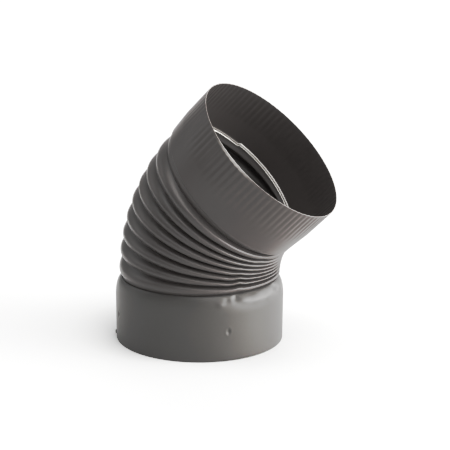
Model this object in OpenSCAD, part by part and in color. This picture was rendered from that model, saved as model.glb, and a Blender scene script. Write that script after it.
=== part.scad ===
/* [Flue size] */
// Inside diameter of the plain lower socket
socket_d = 150.8; // [148:0.2:154]
// Thickness of the sheet steel
sheet = 0.6; // [0.5:0.05:0.8]
/* [Lower collar] */
// Height from the mouth to the first fold crease
lower_h = 58; // [55:0.5:64]
// Height of the rounded shoulder below the crease
shoulder_h = 17; // [14:0.5:18]
// Height of the dimples above the mouth
dimple_z = 26.5; // [20:0.5:34]
// Angle of the first dimple round the pipe, from the throat
dimple_at = 47; // [40:1:50]
// Number of pressed dimples
dimple_n = 4; // [3:1:8]
// Width of one dimple
dimple_w = 5; // [4:0.5:6]
// How deep a dimple is pressed in
dimple_d = 0.3; // [0.2:0.05:0.35]
// Diameter of the small rivet at the foot of the collar
rivet_d = 4.4; // [4:0.1:5]
// Height of the rivet's middle above the foot
rivet_z = 2.5; // [2.4:0.1:8]
// Angle of the rivet round the pipe, from the throat
rivet_at = 209; // [190:1:230]
/* [Pleated bend] */
// Total turn of the elbow in degrees
bend_angle = 45; // [40:1:48]
// Length of a middle fold along the centre line
fold_pitch = 10.3; // [9.8:0.1:11]
// Extra length of the lowest fold
first_extra = 1.9; // [0:0.1:3]
// Extra length of the topmost fold
last_extra = 1.9; // [0:0.1:4]
// Depth of a fold at the heel of the bend
heel_depth = 2.2; // [1.5:0.1:3]
// Depth of a fold at the sides
side_depth = 4; // [3:0.1:5]
// Depth of a fold at the throat
throat_depth = 6; // [4:0.1:7]
/* [Upper collar] */
// Length from the topmost crease to the rim
upper_h = 58; // [54:0.5:62]
// How far the rim is smaller in radius than the lower collar
rim_drop = 1.8; // [1.2:0.1:2.4]
// How far the neck is smaller in radius than the rim
neck_drop = 1.6; // [1:0.1:2]
// How far the collar steps in just above the topmost crease
step_drop = 0.9; // [0.2:0.1:1.2]
// Length of the true cylinder at the rim
rim_len = 30; // [24:1:34]
// Number of crimped flutes
flute_n = 82; // [60:2:90]
// Length of the flutes down from the rim
flute_len = 22; // [14:1:23]
// Width of one flute
flute_w = 1.2; // [0.8:0.1:1.3]
// Depth of one flute
flute_d = 0.3; // [0.1:0.05:0.35]
/* [Seam welds] */
// Angle of the seam round the pipe, from the throat
seam_at = 120; // [60:5:150]
// Width of the welded gap
seam_w = 1.6; // [1.2:0.1:2]
// How far a weld stands proud of the sheet
seam_h = 0.35; // [0.1:0.05:0.5]

/* [Hidden] */
$fn = 96;
steel = [0.21, 0.20, 0.195];
weld_steel = [0.25, 0.24, 0.23];

bore_r = socket_d/2;
body_r = bore_r + sheet;          // outside of the lower collar
crease_r = body_r - 7;             // sheet inside both end creases
lip_gap = 0.05;                   // running gap where a collar grips the bend
folds = 8;
side_n = 48;                      // facets round the bend
seam_half = asin(seam_w/2/body_r);

// ---- centre line of the folds -------------------------------------
function tilt(i) = bend_angle*i/folds;
function pitch(i) = fold_pitch + (i == 0 ? first_extra : 0) + (i == folds - 1 ? last_extra : 0);
function head(i) = 0.91*tilt(i + 0.5);
function cen(i) = i <= 0 ? [0, lower_h]
    : let(p = cen(i - 1)) p + pitch(i - 1)*[sin(head(i - 1)), cos(head(i - 1))];
CEN = [for (i = [0:folds]) cen(i)];
top = CEN[folds];

// ---- section of the folds -----------------------------------------
// a is the angle round the pipe, 0 at the throat and 180 at the heel
function share(a) = let(c = cos(a)) c > 0 ? c*c : 0;
function heelp(a) = let(c = cos(a)) c < 0 ? c*c : 0;
function crest(a) = body_r - 0.2 - 4.2*share(a) - 4.2*heelp(a);
function depth(a) = side_depth + (throat_depth - side_depth)*share(a)
                    + (heel_depth - side_depth)*heelp(a);
// 1 in a groove and 0 on a ridge, for a place u from 0 to 1 across a fold
function dip(u) = 1 - pow(sin(180*u), 0.6);
// the two end grooves are round, so that the collars close on them
function ends(t) = t < 0.5 ? 1 - 2*t : t > folds - 0.5 ? 2*(t - folds) + 1 : 0;
function fold_r(t, a) = let(u = t - floor(t), e = ends(t), g = dip(u),
        r = crest(a) - depth(a)*g)
    e*(crease_r + (crest(a) - crease_r)*(1 - g)) + (1 - e)*r;
function fold_c(t) = let(i = min(floor(t), folds - 1), w = t - i) CEN[i]*(1 - w)
    + (CEN[i] + pitch(i)*[sin(head(i)), cos(head(i))])*w;

U = [0, 0.1, 0.34, 0.66, 0.9];
T = concat([for (i = [0:folds - 1], u = U) i + u], [folds]);

// the short sleeves that the collars close over: [distance from the crease, drop from the collar]
SK = [[1.2, 0.1], [2.4, -1.7], [4.5, -3.2], [7.5, -4.6], [10.5, -5.4]];
// one ring: [x, z, tilt] and a radius rule
function ring(k) = let(nl = len(SK), nt = len(T))
    k < nl ? let(s = SK[nl - 1 - k]) [0, lower_h - s[0], 0]
    : k < nl + nt ? let(t = T[k - nl], c = fold_c(t)) [c[0], c[1], bend_angle*t/folds]
    : let(s = TK[k - nl - nt]) [top[0] + s[0]*sin(bend_angle), top[1] + s[0]*cos(bend_angle), bend_angle];
TK = [[1.2, 0.1], [2.4, -1.2], [4.6, -2.2]];
function ring_r(k, a) = let(nl = len(SK), nt = len(T))
    k < nl ? crease_r - SK[nl - 1 - k][1]
    : k < nl + nt ? fold_r(T[k - nl], a)
    : crease_r - TK[k - nl - nt][1];
RINGS = len(SK) + len(T) + len(TK);
function at(k, a, r) = let(q = ring(k), x = r*cos(a))
    [q[0] + x*cos(q[2]), r*sin(a), q[1] - x*sin(q[2])];

// ---- collar outlines, as [radius, height] -------------------------
// shoulder of the lower collar, q from 0 at its foot to 1 at the crease
function shoulder(q) = [body_r - (body_r - crease_r - sheet - lip_gap)*(1 - sqrt(1 - q*q)),
    lower_h - 0.4 - shoulder_h*(1 - q)];
rim_r = body_r - rim_drop;
neck_r = rim_r - neck_drop;
neck_h = 5.5;
step_h = 1.9;                     // height of the slope of the step
band_r = neck_r - step_drop;
// rounded foot of the upper collar, q from 0 at the crease to 1 at the band below the step
function foot(q) = [crease_r + sheet + lip_gap + (band_r - crease_r - sheet - lip_gap)*sqrt(1 - (1 - q)*(1 - q)),
    0.4 + (neck_h - 0.4)*q];
// the step, outside going up and inside going down
STEP_UP = [[neck_r, neck_h + step_h]];
STEP_DOWN = [[neck_r - sheet, neck_h + step_h + 0.2], [band_r - sheet, neck_h + 0.2]];

module seam_cut(r, h, far) {
    rotate([0, 0, seam_at]) translate([r - 8, -seam_w/2, far]) cube([14, seam_w, h]);
}

module place_top() {
    translate([top[0], 0, top[1]]) rotate([0, bend_angle, 0]) children();
}

// ---- pieces --------------------------------------------------------
module lower_collar() {
    q = [for (i = [0:10]) sin(9*i)];
    out = [for (v = q) shoulder(v)];
    inn = [for (i = [10:-1:0]) [max(shoulder(q[i])[0] - sheet, crease_r + lip_gap),
                                 shoulder(q[i])[1] - (i == 10 ? 0.5 : 0.12*i/10)]];
    color(steel) difference() {
        union() {
            rotate_extrude($fn = 128) polygon(concat([[bore_r, 0], [body_r, 0]], out, inn));
            for (i = [0:dimple_n - 1]) dimple(i) intersection() {
                sphere(r = ball_r + sheet, $fn = 48);
                translate([-body_r - ball_r + dimple_d, 0, -10])
                    cylinder(r = body_r - 0.1, h = 20, $fn = 128);
            }
        }
        for (i = [0:dimple_n - 1]) dimple(i) sphere(r = ball_r, $fn = 48);
        seam_cut(body_r, lower_h + 2, -1);
        rotate([0, 0, rivet_at]) translate([body_r - 5, 0, rivet_z])
            rotate([0, 90, 0]) cylinder(d = rivet_d - 1.4, h = 10, $fn = 32);
    }
}
ball_r = (dimple_w*dimple_w/4 + dimple_d*dimple_d)/(2*dimple_d);
module dimple(i) {
    rotate([0, 0, dimple_at + 360*i/dimple_n]) translate([body_r + ball_r - dimple_d, 0, dimple_z]) children();
}

module pleated_bend() {
    n = side_n;
    a0 = seam_at + seam_half;
    da = (360 - 2*seam_half)/n;
    wall = sheet + 0.1;
    m = n + 1;
    outer = [for (k = [0:RINGS - 1], j = [0:n]) at(k, a0 + da*j, ring_r(k, a0 + da*j))];
    inner = [for (k = [0:RINGS - 1], j = [0:n]) at(k, a0 + da*j, ring_r(k, a0 + da*j) - wall)];
    o = RINGS*m;
    skin = [for (k = [0:RINGS - 2], j = [0:n - 1]) each
        [[k*m + j, (k + 1)*m + j, (k + 1)*m + j + 1], [k*m + j, (k + 1)*m + j + 1, k*m + j + 1]]];
    bore = [for (k = [0:RINGS - 2], j = [0:n - 1]) each
        [[o + k*m + j, o + (k + 1)*m + j + 1, o + (k + 1)*m + j], [o + k*m + j, o + k*m + j + 1, o + (k + 1)*m + j + 1]]];
    foot_rim = [for (j = [0:n - 1]) each [[j, j + 1, o + j + 1], [j, o + j + 1, o + j]]];
    e = (RINGS - 1)*m;
    top_rim = [for (j = [0:n - 1]) each [[e + j, o + e + j + 1, e + j + 1], [e + j, o + e + j, o + e + j + 1]]];
    side_a = [for (k = [0:RINGS - 2]) each [[k*m, o + k*m, o + (k + 1)*m], [k*m, o + (k + 1)*m, (k + 1)*m]]];
    side_b = [for (k = [0:RINGS - 2]) each
        [[k*m + n, o + (k + 1)*m + n, o + k*m + n], [k*m + n, (k + 1)*m + n, o + (k + 1)*m + n]]];
    color(steel) polyhedron(points = concat(outer, inner),
        faces = concat(skin, bore, foot_rim, top_rim, side_a, side_b), convexity = 10);
}

module upper_collar() {
    q = [for (i = [0:8]) 1 - cos(11.25*i)];
    out = [for (v = q) foot(v)];
    inn = [for (i = [8:-1:0]) [max(foot(q[i])[0] - sheet, crease_r + lip_gap),
                                foot(q[i])[1] + (i == 0 ? 0.5 : 0.12*(8 - i)/8)]];
    color(steel) place_top() difference() {
        rotate_extrude($fn = 128) polygon(concat(out, STEP_UP,
            [[rim_r, upper_h - rim_len], [rim_r, upper_h],
             [rim_r - sheet, upper_h], [rim_r - sheet, upper_h - rim_len]], STEP_DOWN, inn));
        for (i = [0:flute_n - 1]) rotate([0, 0, seam_at + (i + 0.5)*360/flute_n])
            translate([rim_r + flute_r - flute_d, 0, upper_h - flute_len])
                cylinder(r = flute_r, h = flute_len + 2, $fn = 24);
        seam_cut(rim_r, upper_h + 2, -1);
    }
}
flute_r = (flute_w*flute_w/4 + flute_d*flute_d)/(2*flute_d);

// a weld fills the gap in the sheet all the way up its collar
fit = 0.05;
module weld_turn(r) {
    h = asin((seam_w/2 - fit)/r);
    rotate([0, 0, seam_at - h]) rotate_extrude(angle = 2*h, $fn = 128) children();
}
module lower_seam_weld() {
    q = [for (i = [0:10]) sin(9*i)];
    out = [for (v = q) shoulder(v) + [seam_h*(1 - v*v), 0]];
    inn = [for (i = [10:-1:0]) [max(shoulder(q[i])[0] - sheet, crease_r + lip_gap),
                                 shoulder(q[i])[1] - (i == 10 ? 0.5 : 0.12*i/10)]];
    color(weld_steel) weld_turn(body_r + seam_h)
        polygon(concat([[bore_r, 0.4], [body_r, 0.2], [body_r + seam_h, 1]], out, inn));
}
module upper_seam_weld() {
    q = [for (i = [0:8]) 1 - cos(11.25*i)];
    out = [for (v = q) foot(v)];
    inn = [for (i = [8:-1:0]) [max(foot(q[i])[0] - sheet, crease_r + lip_gap),
                                foot(q[i])[1] + (i == 0 ? 0.5 : 0.12*(8 - i)/8)]];
    color(weld_steel) place_top() weld_turn(rim_r)
        polygon(concat(out, STEP_UP, [[rim_r, upper_h - rim_len], [rim_r, upper_h - 0.2],
            [rim_r - sheet, upper_h - 0.4], [rim_r - sheet - seam_h/2, upper_h - 1],
            [rim_r - sheet - seam_h/2, upper_h - rim_len]], STEP_DOWN, inn));
}
module bend_seam_weld() {
    wall = sheet + 0.1;
    w = (seam_w/2 - fit)/body_r*57.3;
    // section corners: [radius offset from the sheet's outside, share of the width]
    S = [[-wall, -1], [0, -1], [seam_h, -0.5], [seam_h, 0.5], [0, 1], [-wall, 1]];
    k0 = len(SK);
    K = [for (k = [k0:k0 + len(T) - 1]) k];
    function proud(k, d) = d > 0 && (k == k0 || k == k0 + len(T) - 1) ? 0 : d;
    pts = [for (k = K, s = S) at(k, seam_at + w*s[1], ring_r(k, seam_at + w*s[1]) + proud(k, s[0]))];
    c = len(S);
    nk = len(K);
    body = [for (k = [0:nk - 2], j = [0:c - 1]) let(j1 = (j + 1) % c) each
        [[k*c + j, (k + 1)*c + j1, (k + 1)*c + j], [k*c + j, k*c + j1, (k + 1)*c + j1]]];
    foot_cap = [for (j = [1:c - 2]) [0, j + 1, j]];
    head_cap = [for (j = [1:c - 2]) [(nk - 1)*c, (nk - 1)*c + j, (nk - 1)*c + j + 1]];
    color(weld_steel) polyhedron(points = pts, faces = concat(body, foot_cap, head_cap), convexity = 10);
}
module foot_rivet() {
    color(weld_steel) rotate([0, 0, rivet_at]) translate([body_r + 0.05, 0, rivet_z]) rotate([0, 90, 0]) {
        intersection() {
            translate([0, 0, 1.1 - 2.75]) sphere(r = 2.75, $fn = 48);
            cylinder(d = rivet_d, h = 3, $fn = 32);
        }
        translate([0, 0, -sheet - 0.1]) cylinder(d = rivet_d - 1.5, h = sheet + 0.3, $fn = 32);
    }
}

lower_collar();
pleated_bend();
upper_collar();
lower_seam_weld();
bend_seam_weld();
upper_seam_weld();
foot_rivet();
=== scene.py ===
"""Flue elbow: a pleated 45-degree stove-pipe bend in satin anthracite paint."""
import math

import bpy
import bmesh
import numpy as np
from mathutils import Matrix, Vector


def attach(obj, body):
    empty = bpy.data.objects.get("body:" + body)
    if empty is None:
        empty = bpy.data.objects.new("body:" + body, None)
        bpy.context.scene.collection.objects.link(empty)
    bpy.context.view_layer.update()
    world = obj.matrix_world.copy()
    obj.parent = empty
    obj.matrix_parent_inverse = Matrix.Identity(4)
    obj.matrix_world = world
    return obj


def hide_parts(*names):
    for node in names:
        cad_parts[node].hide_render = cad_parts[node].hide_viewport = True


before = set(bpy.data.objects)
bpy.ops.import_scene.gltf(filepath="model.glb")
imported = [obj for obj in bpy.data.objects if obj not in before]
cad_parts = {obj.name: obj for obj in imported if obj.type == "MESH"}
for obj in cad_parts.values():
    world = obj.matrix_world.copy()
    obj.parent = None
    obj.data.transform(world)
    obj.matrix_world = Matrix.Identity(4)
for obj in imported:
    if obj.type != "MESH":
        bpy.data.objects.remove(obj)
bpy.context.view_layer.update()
scene = bpy.context.scene
MM = 0.001

# ------------------------------------------------------------------ camera
AZ, EL, ROLL = math.radians(26.70), math.radians(13.41), math.radians(-0.55)
DIST, FOCAL_PX = 0.958, 1079.0
TARGET = Vector((0.02516, 0.0, 0.10548))


def put_camera():
    back = Vector((math.sin(AZ) * math.cos(EL), -math.cos(AZ) * math.cos(EL), math.sin(EL)))
    right = Vector((math.cos(AZ), math.sin(AZ), 0.0))
    up = back.cross(right)
    r2 = right * math.cos(ROLL) - up * math.sin(ROLL)
    u2 = right * math.sin(ROLL) + up * math.cos(ROLL)
    cam = bpy.data.cameras.new("camera")
    cam.sensor_fit = "HORIZONTAL"
    cam.sensor_width = 36.0
    cam.lens = 36.0 * FOCAL_PX / 450.0
    cam.clip_start, cam.clip_end = 0.05, 60.0
    ob = bpy.data.objects.new("camera", cam)
    scene.collection.objects.link(ob)
    m = Matrix((r2, u2, back)).transposed().to_4x4()
    m.translation = TARGET + back * DIST
    ob.matrix_world = m
    scene.camera = ob


put_camera()

# ------------------------------------------------------------------ design (mm)
BODY = 76.0          # outside of the lower collar
SHEET = 0.6
LOWER_H = 58.0
SHOULDER = 17.0
FOLDS = 8
BEND = 45.0
PITCH, FIRST, LAST = 10.3, 1.9, 1.9
CREASE = 69.0
UPPER_H = 58.0
RIM = 74.2
NECK = 72.6
NECK_H = 5.5
FLUTES = 82
SEAM = math.radians(120.0)


def tilt(t):
    return BEND * t / FOLDS


def pitch(i):
    return PITCH + (FIRST if i == 0 else 0.0) + (LAST if i == FOLDS - 1 else 0.0)


def heading(i):
    return math.radians(0.91 * tilt(i + 0.5))


CEN = [np.array([0.0, LOWER_H])]
for _i in range(FOLDS):
    CEN.append(CEN[-1] + pitch(_i) * np.array([math.sin(heading(_i)), math.cos(heading(_i))]))
TOP = CEN[-1]


def fold_centre(t):
    i = min(int(math.floor(t)), FOLDS - 1)
    return CEN[i] + (t - i) * pitch(i) * np.array([math.sin(heading(i)), math.cos(heading(i))])


def throat_share(a):
    c = np.cos(a)
    return np.where(c > 0, c * c, 0.0)


def heel_share(a):
    c = np.cos(a)
    return np.where(c < 0, c * c, 0.0)


def bump(x, width):
    return np.exp(-(x / width) ** 2)


def angle_off(a, centre_deg):
    """Signed distance in radians from a given angle."""
    return (a - math.radians(centre_deg) + math.pi) % (2 * math.pi) - math.pi


def wobble(a, seed, n=5, amp=1.0):
    """A slow, seeded out-of-roundness round the pipe."""
    rng = np.random.RandomState(seed)
    out = np.zeros_like(a)
    for k in range(2, 2 + n):
        out = out + rng.normal() / k * np.cos(k * a + rng.uniform(0, 2 * math.pi))
    return amp * out


def crest(a):
    return BODY - 0.2 - 4.2 * throat_share(a) - 4.2 * heel_share(a)


def depth(a):
    return 4.0 + 2.0 * throat_share(a) - 1.8 * heel_share(a)


EPS = 0.05
GROOVE_W, GROOVE_S = 0.145, 0.045       # half width and softness of a crimped groove, in folds


def side_share(a):
    return np.sin(a) ** 2


def crimped(a):
    """1 where the folds are pressed flat-topped with steep grooves, 0 where they are only scalloped."""
    off = np.degrees(np.abs(angle_off(a, 0.0)))
    x = np.clip((112 - off) / 38, 0, 1)
    return x * x * (3 - 2 * x)


def dip(u, a):
    """How deep the groove is at place u in a fold: a scallop at the heel, a crimped groove at the sides and throat."""
    p = 0.62 + 0.52 * side_share(a) ** 0.75
    s = math.sqrt(math.sin(math.pi * u) ** 2 + EPS * EPS)
    lo = EPS ** p
    hi = math.sqrt(1 + EPS * EPS) ** p
    scallop = 1 - (s ** p - lo) / (hi - lo)
    v = min(u, 1 - u)
    q0, q1 = 1 / (1 + math.exp(-GROOVE_W / GROOVE_S)), 1 / (1 + math.exp((0.5 - GROOVE_W) / GROOVE_S))
    groove = (1 / (1 + math.exp((v - GROOVE_W) / GROOVE_S)) - q1) / (q0 - q1)
    groove = 0.78 * groove + 0.22 * (1 - math.sin(math.pi * u))
    k = crimped(a)
    return k * groove + (1 - k) * scallop


def low_crease(a):
    """Outside radius of the crease over the lower collar, which is oval like the folds."""
    return CREASE + 3.0 * side_share(a)


def high_crease(a):
    return CREASE - 0.5 + 0.3 * side_share(a)


def ease(x):
    x = min(max(x, 0.0), 1.0)
    return x * x * (3 - 2 * x)


def fold_radius(t, a):
    """Outside radius of the bend at fold place t (0 to 8) and angle a."""
    i = min(int(math.floor(t)), FOLDS - 1)
    g = dip(t - i, a)
    cr = crest(a) + wobble(a, 40 + i, amp=0.12)
    dp = depth(a) + 1.4 * side_share(a)
    free = cr - dp * g
    if t < 0.5:
        e = ease(1 - 2 * t)
        held = low_crease(a) + (cr - low_crease(a)) * (1 - g)
        return e * held + (1 - e) * free
    if t > FOLDS - 0.5:
        e = ease(2 * (t - FOLDS) + 1)
        held = high_crease(a) + (cr - high_crease(a)) * (1 - g)
        return e * held + (1 - e) * free
    return free


def fold_shift(t, a):
    """Small kinks where the folds were squeezed unevenly, in mm along the pipe."""
    k = bump(angle_off(a, -35.0) * BODY, 4.2) * math.exp(-((t - 1.9) / 1.9) ** 2) * 0.95
    k = k - bump(angle_off(a, -43.5) * BODY, 5.0) * math.exp(-((t - 2.2) / 1.6) ** 2) * 0.45
    k = k + bump(angle_off(a, -21.0) * BODY, 4.0) * math.exp(-((t - 7.2) / 0.9) ** 2) * 0.7
    return k


# ------------------------------------------------------------------ mesh building
def section(centre, ang, radius, a, lift=0.0):
    """Points of one ring: centre (x, z), tilt in radians, radius by angle, lift along the ring's axis."""
    x = radius * np.cos(a)
    return np.stack([centre[0] + x * math.cos(ang) + lift * math.sin(ang), radius * np.sin(a),
                     centre[1] - x * math.sin(ang) + lift * math.cos(ang)], -1)


def loop_mesh(name, rings):
    """A closed shell from rings of equal length: the last ring joins the first."""
    P = np.array(rings)
    R, n = P.shape[0], P.shape[1]
    k = np.arange(R)[:, None]
    j = np.arange(n)[None, :]
    k1, j1 = (k + 1) % R, (j + 1) % n
    quads = np.stack([k * n + j, k * n + j1, k1 * n + j1, k1 * n + j], -1).reshape(-1, 4)
    return make_mesh(name, P.reshape(-1, 3) * MM, quads)


def set_painted_highlight(ob, values):
    """How much painted highlight each point gets, from 0 to 1, read by the paint as bright bare-steel colour."""
    at = ob.data.attributes.new("painted_highlight", "FLOAT", "POINT")
    at.data.foreach_set("value", np.asarray(values, dtype=np.float32).ravel())


def make_mesh(name, verts, quads, tris=None):
    me = bpy.data.meshes.new(name)
    faces = [tuple(int(v) for v in q) for q in quads]
    if tris is not None:
        faces += [tuple(int(v) for v in q) for q in tris]
    me.from_pydata([tuple(map(float, v)) for v in verts], [], faces)
    me.update()
    bm = bmesh.new()
    bm.from_mesh(me)
    bmesh.ops.recalc_face_normals(bm, faces=bm.faces)
    if bm.calc_volume(signed=True) < 0:
        bmesh.ops.reverse_faces(bm, faces=bm.faces)
    bm.to_mesh(me)
    bm.free()
    me.shade_smooth()
    ob = bpy.data.objects.new(name, me)
    scene.collection.objects.link(ob)
    return ob


# lower collar ----------------------------------------------------------
DIMPLES = (47, 137, 227, 317)
DIMPLE_Z = 26.5
SHOULDER_Z = LOWER_H - 0.4 - SHOULDER


def shoulder_r(z, a):
    q = np.clip((z - SHOULDER_Z) / SHOULDER, 0, 1)
    top = low_crease(a) + SHEET + 0.08
    return BODY - (BODY - top) * (1 - np.sqrt(np.clip(1 - (0.985 * q) ** 2, 0, 1))) / (1 - math.sqrt(1 - 0.985 ** 2))


# marks in the shoulder: angle, height, size round and up, depth (inward is negative), all in mm but the angle
DENTS = (
    (-48.5, 50.3, 3.6, 2.6, 0.60),
    (-43.5, 53.6, 3.2, 2.4, -0.55),
    (-37.0, 54.6, 3.4, 3.0, -1.35),
    (-31.0, 52.0, 4.6, 2.6, 0.50),
    (-22.0, 50.3, 7.5, 2.8, 0.50),
    (-24.0, 56.4, 8.0, 1.9, -0.60),
    (-10.0, 50.0, 5.5, 2.8, 0.40),
    (3.5, 54.0, 4.4, 3.0, -1.25),
    (12.0, 50.0, 4.5, 3.0, 0.35),
)


def lower_marks(a, z):
    """Pressed dimples and handling dents, in mm, positive outwards."""
    d = np.zeros_like(a)
    for deg in DIMPLES:
        s = np.sqrt((angle_off(a, deg) * BODY / 1.55) ** 2 + ((z - DIMPLE_Z) / 2.3) ** 2)
        d = d - 0.62 * np.exp(-s ** 2) + 0.09 * np.exp(-((s - 1.75) / 0.6) ** 2)
    for deg, zz, w, h, amt in DENTS:
        d = d + amt * np.exp(-(angle_off(a, deg) * BODY / w) ** 2 - ((z - zz) / h) ** 2)
    return d + wobble(a, 7, amp=0.10) * np.clip(z / 40, 0.3, 1)


def build_lower():
    zs = list(np.linspace(0.3, 21.5, 10)) + list(np.linspace(22, 31.5, 26)) + list(np.linspace(32.5, SHOULDER_Z, 7))
    h = SHEET / 2
    outer = [(z, 0.0) for z in zs]
    for w in np.linspace(2, 90, 46):
        outer.append((SHOULDER_Z + SHOULDER * math.sin(math.radians(w)), 0.0))
    n = 900
    a = np.linspace(0, 2 * math.pi, n, endpoint=False)
    zz = np.array([o[0] for o in outer])
    R = np.array([shoulder_r(np.full_like(a, z), a) + lower_marks(a, np.full_like(a, z)) for z in zz])
    # offset of the sheet, square to the profile
    dr = np.gradient(R, zz, axis=0)
    dr = np.clip(dr, -4, 4)
    ln = np.sqrt(1 + dr ** 2)
    nr, nz = 1 / ln, -dr / ln
    rings = []
    for k in range(len(zz)):
        rings.append((R[k], np.full_like(a, zz[k])))
    # rounded top edge
    for w in (45, 90, 135):
        c, s_ = math.cos(math.radians(w)), math.sin(math.radians(w))
        rings.append((R[-1] - nr[-1] * h * (1 - c) + (-nz[-1]) * h * s_ * 0.0, zz[-1] + h * s_ * 0.6 - nz[-1] * h * (1 - c)))
    for k in range(len(zz) - 1, -1, -1):
        rings.append((R[k] - nr[k] * SHEET, zz[k] - nz[k] * SHEET))
    # rounded bottom edge
    for w in (135, 90, 45):
        c, s_ = math.cos(math.radians(w)), math.sin(math.radians(w))
        rings.append((R[0] - h * (1 - c), zz[0] - h * s_ + 0 * a))
    P = [np.stack([r * np.cos(a), r * np.sin(a), z + 0 * a], -1) for r, z in rings]
    return loop_mesh("lower_collar_shell", P)


# pleated bend ----------------------------------------------------------
SK = [(1.2, 0.4), (2.4, 0.2), (4.5, -0.3), (7.5, -1.4), (10.5, -2.6)]
BAND = 71.9          # outside of the upper collar's stepped-in band
BAND_CURL = 3.4      # how far up it takes to turn in to the bend


def band_foot(a):
    return high_crease(a) + SHEET + 0.08


def band_r(s, a):
    full = 1 - np.exp(-(lip_s(a) + 1.0) / BAND_CURL)
    return band_foot(a) + (BAND - band_foot(a)) * np.clip((1 - np.exp(-np.clip(s - 0.35, 0, None) / BAND_CURL)) / full, 0, 1)


def sleeve_r(s, a):
    """The bend's upper sleeve, just inside the band that closes over it."""
    slope = 1.2 * (BAND - band_foot(a)) / BAND_CURL * np.exp(-np.clip(s - 0.35, 0, None) / BAND_CURL)
    return band_r(s, a) - SHEET * np.sqrt(1 + slope ** 2) - 0.07


def build_bend():
    n = 540
    a = np.linspace(0, 2 * math.pi, n, endpoint=False)
    outer = []
    for s, d in reversed(SK):
        k = s / SK[-1][0]
        outer.append(((0.0, LOWER_H - s), 0.0, low_crease(a) * (1 - k) + CREASE * k - d - 0.1, 0.0))
    per = 34
    ts = []
    for i in range(FOLDS):
        for k in range(per):
            u = k / per
            # closer rings in the grooves
            u = u - 0.11 * math.sin(2 * math.pi * u)
            ts.append(i + u)
    ts.append(float(FOLDS))
    for t in ts:
        outer.append((fold_centre(t), math.radians(tilt(t)), fold_radius(t, a), fold_shift(t, a) if 0.02 < t < FOLDS - 0.02 else 0.0))
    top_ang = math.radians(BEND)
    end = np.clip(lip_s(a) - 1.05, 1.4, None)
    for f in (0.2, 0.4, 0.6, 0.8, 0.93, 1.0):
        outer.append((TOP, top_ang, sleeve_r(f * end, a), f * end))
    wall = SHEET + 0.1
    rings = [section(c, g, r, a, q) for c, g, r, q in outer]
    r_end = sleeve_r(end, a)
    # the sleeve's rolled end slants inwards, and its cut edge carries a painted highlight of mostly bright bare-steel
    # colour
    highlight_from = len(rings)
    for q, up in ((0.12, 0.22), (0.35, 0.24), (0.65, 0.14), (0.95, -0.02), (1.2, -0.24), (1.32, -0.5), (1.25, -0.9)):
        rings.append(section(TOP, top_ang, r_end - wall * q, a, end + up))
    highlight_to = len(rings)
    rings += [section(c, g, r - wall, a, q) for c, g, r, q in reversed(outer)]
    ob = loop_mesh("pleated_bend_shell", rings)
    painted_highlight = np.zeros((len(rings), n))
    painted_highlight[highlight_from:highlight_to] = 0.75 + 0.25 * wobble(a, 51, n=12, amp=0.8)
    set_painted_highlight(ob, np.clip(painted_highlight, 0, 1))
    return ob


# upper collar ----------------------------------------------------------
def lip_s(a):
    """Height of the joggle where the collar's wall steps in over the bend; it jogs at the seam."""
    past = np.mod(a, 2 * math.pi) - SEAM
    jog = np.where((past > 0) & (past < 2.2), np.exp(-(past / 0.45) ** 2) * np.clip(past / 0.035, 0, 1), 0.0)
    return 5.4 - 3.2 * np.cos(a) + 1.2 * side_share(a) - 1.5 * jog


def collar_r(s, a):
    """Outside radius of the upper collar at distance s above the top groove."""
    wall = NECK + (RIM - NECK) * np.clip((s - 6.5) / (UPPER_H - 36.5), 0, 1)
    k = lip_s(a)
    band = band_r(s, a)
    past = np.mod(a, 2 * math.pi) - SEAM
    soft = 0.14 + 0.6 * np.where((past > 0) & (past < 1.0), np.clip(past / 0.06, 0, 1), 0.0)
    return band + (wall - band) / (1 + np.exp(-np.clip((s - k) / soft, -30, 30)))


def flute(a, s):
    """Crimp in the rim, in mm, fading away from it."""
    ph = (a - SEAM) * FLUTES
    wave = 0.5 + 0.5 * np.cos(ph)
    w = np.clip((s - (UPPER_H - 39)) / 27, 0, 1)
    w = w * w * (3 - 2 * w)
    w = w * (1 - 0.55 * np.clip((s - (UPPER_H - 2.2)) / 1.6, 0, 1))
    deg = np.degrees(np.mod(a, 2 * math.pi))
    part = 1 - 0.7 * np.exp(-((deg - 212) / 24) ** 2) + 0.3 * np.exp(-((deg - 270) / 26) ** 2)
    return -0.40 * part * wave ** 1.2 * w * (1 + 0.25 * wobble(a, 77, n=9))


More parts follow.
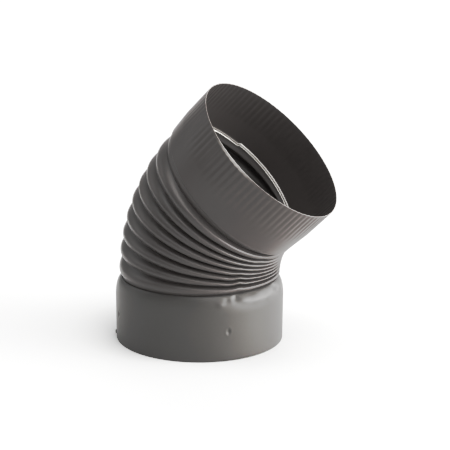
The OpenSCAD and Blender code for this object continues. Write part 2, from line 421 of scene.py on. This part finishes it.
def build_upper():
    ss = [0.4, 0.7, 1.0, 1.3] + list(np.linspace(1.6, 10.2, 73)) + list(np.linspace(11, UPPER_H - 39, 7)) + \
        list(np.linspace(UPPER_H - 38, UPPER_H - 0.3, 32))
    ss = np.array(ss)
    h = SHEET / 2
    n = FLUTES * 12
    a = np.linspace(0, 2 * math.pi, n, endpoint=False)
    ang = math.radians(BEND)
    R = np.array([collar_r(np.full_like(a, s), a) + flute(a, np.full_like(a, s)) + wobble(a, 19, amp=0.12) * min(1, s / 40) for s in ss])
    dr = np.clip(np.gradient(R, ss, axis=0), -2.2, 2.2)
    ln = np.sqrt(1 + dr ** 2)
    nr, ns = 1 / ln, -dr / ln
    rings = [(R[k], ss[k] + 0 * a) for k in range(len(ss))]
    k_lip = lip_s(a)
    for w in (45, 90, 135):
        c, s_ = math.cos(math.radians(w)), math.sin(math.radians(w))
        rings.append((R[-1] - h * (1 - c), ss[-1] + h * s_ + 0 * a))
    # painted highlight: bright bare-steel colour on the rim's rolled top edge, strongest near 268 degrees, and in a
    # band round the inside of the wall at the joggle
    deg = np.degrees(np.mod(a, 2 * math.pi))
    rim_highlight = np.exp(-((deg - 268) / 13) ** 2)
    painted_highlight = [0.75 * rim_highlight * min(1.0, max(0.0, (s - (UPPER_H - 2.4)) / 1.2)) for s in ss]
    painted_highlight += [0.25 + 0.6 * rim_highlight] * 3
    for k in range(len(ss) - 1, -1, -1):
        rings.append((R[k] - nr[k] * SHEET, ss[k] - ns[k] * SHEET))
        painted_highlight.append(0.62 * np.exp(-((ss[k] - k_lip) / 0.7) ** 2) * (1 + 0.3 * wobble(a, 52, n=10)))
    for w in (135, 90, 45):
        c, s_ = math.cos(math.radians(w)), math.sin(math.radians(w))
        rings.append((R[0] - nr[0] * h * (1 - c), ss[0] - ns[0] * h * (1 - c) - h * s_ * 0.5))
        painted_highlight.append(0 * a)
    d = np.array([math.sin(ang), math.cos(ang)])
    P = []
    for r, s in rings:
        x = r * np.cos(a)
        P.append(np.stack([TOP[0] + s * d[0] + x * math.cos(ang), r * np.sin(a), TOP[1] + s * d[1] - x * math.sin(ang)], -1))
    ob = loop_mesh("upper_collar_shell", P)
    set_painted_highlight(ob, np.clip(np.array(painted_highlight), 0, 1))
    return ob


# weld beads and rivet ---------------------------------------------------
def bead(name, path, width, height, sink=0.35, seg=10, ripple=0.12, seed=3):
    """A flattened bead along a path of (point, outward, across) on the sheet's outside."""
    rng = np.random.RandomState(seed)
    rings = []
    m = len(path)
    for k, (p, o, c) in enumerate(path):
        fade = min(1.0, k / 3.0, (m - 1 - k) / 3.0)
        fade = max(0.35, fade)
        w = width / 2 * (1 + 0.08 * rng.normal()) * (0.6 + 0.4 * fade)
        h = height * (1 + ripple * math.sin(k * 2.1) + 0.05 * rng.normal()) * fade
        ring = []
        for j in range(seg + 1):
            th = math.pi * j / seg
            ring.append(p + c * (w * math.cos(th)) + o * (h * math.sin(th)))
        ring.append(p - c * w * 0.9 - o * sink)
        ring.append(p + c * w * 0.9 - o * sink)
        rings.append(ring)
    P = np.array(rings)
    R, n = P.shape[:2]
    quads = []
    for k in range(R - 1):
        for j in range(n):
            j1 = (j + 1) % n
            quads.append((k * n + j, k * n + j1, (k + 1) * n + j1, (k + 1) * n + j))
    tris = []
    for j in range(1, n - 1):
        tris.append((0, j + 1, j))
        tris.append(((R - 1) * n, (R - 1) * n + j, (R - 1) * n + j + 1))
    return make_mesh(name, P.reshape(-1, 3) * MM, quads, tris)


def surf_path(fn, params, a0):
    """Points along the seam, with the outward and across directions from the surface itself."""
    out = []
    da = 0.012
    aa = np.array([a0 - da, a0, a0 + da])
    rows = np.array([fn(s, aa) for s in params])
    for k in range(len(params)):
        p = rows[k, 1]
        c = rows[k, 2] - rows[k, 0]
        c /= np.linalg.norm(c)
        k0, k1 = max(0, k - 1), min(len(params) - 1, k + 1)
        t = rows[k1, 1] - rows[k0, 1]
        t /= np.linalg.norm(t)
        o = np.cross(c, t)
        o /= np.linalg.norm(o)
        out.append((p, o, c))
    return out


def build_welds():
    ang = math.radians(BEND)

    def low(z, aa):
        return section((0.0, z), 0.0, shoulder_r(np.full_like(aa, z), aa), aa)

    def mid(t, aa):
        return section(fold_centre(t), math.radians(tilt(t)), fold_radius(t, aa), aa)

    def up(s, aa):
        return section(TOP + s * np.array([math.sin(ang), math.cos(ang)]), ang, collar_r(np.full_like(aa, s), aa), aa)

    b1 = bead("lower_seam_bead", surf_path(low, np.linspace(0.6, LOWER_H - 0.9, 110), SEAM), 2.2, 0.32, seed=3)
    ts = []
    for i in range(FOLDS):
        ts += [i + u - 0.11 * math.sin(2 * math.pi * u) for u in np.linspace(0, 1, 35)[:-1]]
    b2 = bead("bend_seam_bead", surf_path(mid, [t for t in ts if 0.12 < t < FOLDS - 0.12], SEAM), 2.0, 0.3, seed=5)
    b3 = bead("upper_seam_bead", surf_path(up, np.linspace(0.9, UPPER_H - 0.6, 110), SEAM), 2.2, 0.22, seed=8)
    return b1, b2, b3


def build_rivet():
    """A small pressed head standing proud of the collar, on its own short shank."""
    prof = [(0.001, 1.15), (0.5, 1.12), (1.0, 1.0), (1.45, 0.78), (1.8, 0.5), (2.05, 0.2), (2.15, 0.02), (2.1, -0.08),
            (1.3, -0.1), (1.3, -0.75), (1.9, -0.8), (2.0, -0.95), (1.7, -1.1), (0.001, -1.12)]
    seg = 40
    az = math.radians(209.0)
    out = Vector((math.cos(az), math.sin(az), 0))
    acr = Vector((-math.sin(az), math.cos(az), 0))
    c = out * (BODY + 0.02) + Vector((0, 0, 2.5))
    rows = []
    for r, h in prof:
        rows.append([c + out * h + (acr * math.cos(w) + Vector((0, 0, 1)) * math.sin(w)) * r
                     for w in np.linspace(0, 2 * math.pi, seg, endpoint=False)])
    P = np.array([[list(v) for v in row] for row in rows])
    R, n = P.shape[:2]
    quads = [(k * n + j, k * n + (j + 1) % n, (k + 1) * n + (j + 1) % n, (k + 1) * n + j)
             for k in range(R - 1) for j in range(n)]
    verts = list(P.reshape(-1, 3)) + [P[0].mean(0), P[-1].mean(0)]
    tris = [(R * n, (j + 1) % n, j) for j in range(n)] + [(R * n + 1, (R - 1) * n + j, (R - 1) * n + (j + 1) % n) for j in range(n)]
    return make_mesh("foot_rivet_head", np.array(verts) * MM, quads, tris)


# ------------------------------------------------------------------ materials
def node(nt, kind, **kw):
    n = nt.nodes.new(kind)
    for k, v in kw.items():
        setattr(n, k, v)
    return n


def paint(name, base, rough, bump_mm=0.02, speck=0.04, edge=0.35, seed=0.0):
    """Satin stove paint on sheet steel: fine orange peel, slow colour drift, edges lighter where the sheet turns
    sharply (partly worn paint, partly a painted edge highlight), and painted highlights of bright bare-steel colour
    set by an attribute.
    """
    m = bpy.data.materials.new(name)
    m.use_nodes = True
    nt = m.node_tree
    nt.nodes.clear()
    out = node(nt, "ShaderNodeOutputMaterial")
    bs = node(nt, "ShaderNodeBsdfPrincipled")
    nt.links.new(bs.outputs[0], out.inputs[0])
    co = node(nt, "ShaderNodeTexCoord")
    mp = node(nt, "ShaderNodeMapping")
    mp.inputs["Location"].default_value = (seed, seed * 0.7, seed * 1.3)
    nt.links.new(co.outputs["Object"], mp.inputs[0])
    # slow drift of the colour
    n1 = node(nt, "ShaderNodeTexNoise")
    n1.inputs["Scale"].default_value = 14.0
    n1.inputs["Detail"].default_value = 4.0
    nt.links.new(mp.outputs[0], n1.inputs[0])
    # fine speckle of the paint
    n2 = node(nt, "ShaderNodeTexNoise")
    n2.inputs["Scale"].default_value = 900.0
    n2.inputs["Detail"].default_value = 2.0
    nt.links.new(mp.outputs[0], n2.inputs[0])
    add = node(nt, "ShaderNodeMath", operation="MULTIPLY_ADD")
    nt.links.new(n2.outputs[0], add.inputs[0])
    add.inputs[1].default_value = speck * 6
    nt.links.new(n1.outputs[0], add.inputs[2])
    ramp = node(nt, "ShaderNodeValToRGB")
    ramp.color_ramp.elements[0].position = 0.3
    ramp.color_ramp.elements[1].position = 0.85
    ramp.color_ramp.elements[0].color = (base[0] * 0.90, base[1] * 0.90, base[2] * 0.90, 1)
    ramp.color_ramp.elements[1].color = (base[0] * 1.10, base[1] * 1.09, base[2] * 1.08, 1)
    nt.links.new(add.outputs[0], ramp.inputs[0])
    # lighter where the sheet turns sharply: partly paint worn thin, partly a painted edge highlight
    geo = node(nt, "ShaderNodeNewGeometry")
    pr = node(nt, "ShaderNodeValToRGB")
    pr.color_ramp.elements[0].position = 0.53
    pr.color_ramp.elements[1].position = 0.62
    pr.color_ramp.elements[0].color = (0, 0, 0, 1)
    pr.color_ramp.elements[1].color = (edge, edge, edge, 1)
    nt.links.new(geo.outputs["Pointiness"], pr.inputs[0])
    mix = node(nt, "ShaderNodeMix", data_type="RGBA")
    nt.links.new(pr.outputs[0], mix.inputs[0])
    nt.links.new(ramp.outputs[0], mix.inputs[6])
    mix.inputs[7].default_value = (base[0] * 1.9, base[1] * 1.85, base[2] * 1.8, 1)
    # painted highlight: bright bare-steel colour and metal mixed in by the attribute, standing in for highlights
    highlight_attr = node(nt, "ShaderNodeAttribute", attribute_name="painted_highlight")
    highlight_steel = node(nt, "ShaderNodeMix", data_type="RGBA")
    nt.links.new(highlight_attr.outputs["Fac"], highlight_steel.inputs[0])
    nt.links.new(mix.outputs[2], highlight_steel.inputs[6])
    highlight_steel.inputs[7].default_value = (0.62, 0.60, 0.57, 1)
    nt.links.new(highlight_steel.outputs[2], bs.inputs["Base Color"])
    metal = node(nt, "ShaderNodeMath", operation="MULTIPLY")
    nt.links.new(highlight_attr.outputs["Fac"], metal.inputs[0])
    metal.inputs[1].default_value = 0.9
    nt.links.new(metal.outputs[0], bs.inputs["Metallic"])
    # roughness drifts with the paint
    rr = node(nt, "ShaderNodeMapRange")
    rr.inputs["From Min"].default_value = 0.3
    rr.inputs["From Max"].default_value = 0.7
    rr.inputs["To Min"].default_value = rough - 0.03
    rr.inputs["To Max"].default_value = rough + 0.03
    nt.links.new(n1.outputs[0], rr.inputs[0])
    nt.links.new(rr.outputs[0], bs.inputs["Roughness"])
    bs.inputs["IOR"].default_value = 1.5
    # orange peel and fine grain
    n3 = node(nt, "ShaderNodeTexNoise")
    n3.inputs["Scale"].default_value = 420.0
    n3.inputs["Detail"].default_value = 3.0
    n3.inputs["Roughness"].default_value = 0.6
    nt.links.new(mp.outputs[0], n3.inputs[0])
    bp = node(nt, "ShaderNodeBump")
    bp.inputs["Strength"].default_value = 0.35
    bp.inputs["Distance"].default_value = bump_mm * MM
    nt.links.new(n3.outputs[0], bp.inputs["Height"])
    nt.links.new(bp.outputs[0], bs.inputs["Normal"])
    return m


BASE = (0.0657, 0.0586, 0.0563)
mat_foot = paint("satin_stove_paint_foot", (0.0625, 0.0600, 0.0575), 0.42)
mat_bend = paint("satin_stove_paint_bend", (0.0647, 0.0588, 0.0566), 0.42, edge=0.18)
mat_sheet = paint("satin_stove_paint", BASE, 0.42)
mat_weld = paint("satin_paint_on_weld", tuple(v * 1.05 for v in BASE), 0.46, bump_mm=0.05, seed=3.0)

# ------------------------------------------------------------------ pieces
lower = build_lower()
bend = build_bend()
upper = build_upper()
w_low, w_bend, w_up = build_welds()
rivet = build_rivet()
for ob, cad, mat, slot in (
    (lower, "lower_collar", mat_foot, "painted_sheet"),
    (bend, "pleated_bend", mat_bend, "painted_sheet"),
    (upper, "upper_collar", mat_sheet, "painted_sheet"),
    (w_low, "lower_seam_weld", mat_weld, "painted_weld"),
    (w_bend, "bend_seam_weld", mat_weld, "painted_weld"),
    (w_up, "upper_seam_weld", mat_weld, "painted_weld"),
    (rivet, "foot_rivet", mat_weld, "painted_weld"),
):
    ob.data.materials.clear()
    ob.data.materials.append(mat)
    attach(ob, "root")
    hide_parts(cad)

# ------------------------------------------------------------------ studio
def stage_floor():
    me = bpy.data.meshes.new("floor")
    s = 40.0
    me.from_pydata([(-s, -s, 0), (s, -s, 0), (s, s, 0), (-s, s, 0)], [], [(0, 1, 2, 3)])
    ob = bpy.data.objects.new("floor", me)
    scene.collection.objects.link(ob)
    m = bpy.data.materials.new("pale_floor")
    m.use_nodes = True
    b = m.node_tree.nodes["Principled BSDF"]
    b.inputs["Base Color"].default_value = (0.86, 0.86, 0.855, 1)
    b.inputs["Roughness"].default_value = 0.7
    me.materials.append(m)


def area(name, az_deg, el_deg, dist, size, power, aim=(0.02, 0, 0.11), size_y=None):
    """A soft box at an angle round the elbow, measured from +X."""
    az, el = math.radians(az_deg), math.radians(el_deg)
    L = bpy.data.lights.new(name, "AREA")
    L.shape = "RECTANGLE"
    L.size = size
    L.size_y = size_y or size
    L.energy = power
    ob = bpy.data.objects.new(name, L)
    scene.collection.objects.link(ob)
    a = Vector(aim)
    d = Vector((math.cos(az) * math.cos(el), math.sin(az) * math.cos(el), math.sin(el)))
    ob.location = a + d * dist
    ob.rotation_euler = d.to_track_quat("Z", "Y").to_euler()
    return ob


# LOBES-BEGIN
# angle from +X, height, tightness, strength
LOBES = (
    (0.0, 0.7, 24.0, 9.237),
    (137.5, 2.1, 24.0, 0.928),
    (52.5, 5.0, 24.0, 6.409),
    (-170.0, 6.5, 24.0, 0.984),
    (-32.5, 7.9, 24.0, 1.348),
    (20.1, 12.3, 24.0, 13.992),
    (72.6, 16.7, 24.0, 1.043),
    (-149.9, 18.2, 24.0, 0.122),
    (-12.4, 19.7, 24.0, 0.470),
    (125.1, 21.3, 24.0, 0.677),
    (40.1, 24.4, 24.0, 0.221),
    (177.6, 25.9, 24.0, 0.438),
    (-44.9, 27.5, 24.0, 0.854),
    (92.6, 29.2, 24.0, 1.523),
    (145.2, 34.2, 24.0, 0.474),
    (-162.3, 39.6, 24.0, 2.409),
    (112.7, 43.4, 24.0, 1.574),
    (-57.3, 52.0, 24.0, 0.972),
    (-4.7, 59.6, 24.0, 3.236),
    (47.8, 69.6, 24.0, 0.524),
    (-37.2, 80.9, 24.0, 4.572),
    (-30.0, 58.0, 70.0, 1.805),
    (-45.0, 38.0, 70.0, 2.438),
    (0.0, 18.0, 70.0, 1.274),
    (-75.0, 50.0, 70.0, 0.985),
)
# LOBES-END


def studio_world(lobes):
    """Large soft boxes far away, each a smooth patch of light at a fixed angle round the elbow."""
    w = bpy.data.worlds.new("studio")
    w.use_nodes = True
    nt = w.node_tree
    nt.nodes.clear()
    out = nt.nodes.new("ShaderNodeOutputWorld")
    bg = nt.nodes.new("ShaderNodeBackground")
    nt.links.new(bg.outputs[0], out.inputs[0])
    tc = nt.nodes.new("ShaderNodeTexCoord")
    nm = nt.nodes.new("ShaderNodeVectorMath")
    nm.operation = "NORMALIZE"
    nt.links.new(tc.outputs["Generated"], nm.inputs[0])
    total = None
    for az, el, k, power in lobes:
        az, el = math.radians(az), math.radians(el)
        dot = nt.nodes.new("ShaderNodeVectorMath")
        dot.operation = "DOT_PRODUCT"
        dot.inputs[1].default_value = (math.cos(az) * math.cos(el), math.sin(az) * math.cos(el), math.sin(el))
        nt.links.new(nm.outputs[0], dot.inputs[0])
        lin = nt.nodes.new("ShaderNodeMath")
        lin.operation = "MULTIPLY_ADD"
        lin.inputs[1].default_value = k
        lin.inputs[2].default_value = -k
        nt.links.new(dot.outputs["Value"], lin.inputs[0])
        ex = nt.nodes.new("ShaderNodeMath")
        ex.operation = "EXPONENT"
        nt.links.new(lin.outputs[0], ex.inputs[0])
        add = nt.nodes.new("ShaderNodeMath")
        add.operation = "MULTIPLY_ADD"
        add.inputs[1].default_value = power
        nt.links.new(ex.outputs[0], add.inputs[0])
        if total is not None:
            nt.links.new(total.outputs[0], add.inputs[2])
        else:
            add.inputs[2].default_value = 0.0
        total = add
    if total is not None:
        nt.links.new(total.outputs[0], bg.inputs[1])
    scene.world = w


stage_floor()
studio_world(LOBES)

# TONE-BEGIN
TONE = (
    (0, 0.0), (15, 13.5), (25, 23.2), (32, 30.4), (40, 38.8), (46, 45.2), (52, 51.4), (58, 57.6),
    (64, 63.4), (70, 68.6), (76, 73.8), (82, 79.4), (88, 84.4), (94, 92.6), (100, 102.4), (106,
    112.9), (112, 127.0), (118, 140.9), (124, 151.8), (130, 159.8), (136, 166.1), (143, 172.0),
    (150, 177.6), (160, 186.8), (170, 196.0), (185, 208.8), (200, 221.0), (215, 232.1), (230,
    243.0), (243, 249.4), (255, 255.0)
)
# TONE-END


def camera_tone(pairs):
    """The view's tone curve, steepest in the mid-greys, as pairs of 8-bit grey levels before and after."""
    def linear(code):
        c = code / 255.0
        return c / 12.92 if c <= 0.04045 else ((c + 0.055) / 1.055) ** 2.4

    vs = scene.view_settings
    vs.view_transform = "Standard"
    vs.look = "None"
    vs.exposure = 0.0
    vs.gamma = 1.0
    vs.use_curve_mapping = True
    curve = vs.curve_mapping.curves[3]
    for a, b in pairs[1:-1]:
        curve.points.new(linear(a), linear(b))
    for p in curve.points:
        p.handle_type = "VECTOR"
    vs.curve_mapping.update()


camera_tone(TONE)
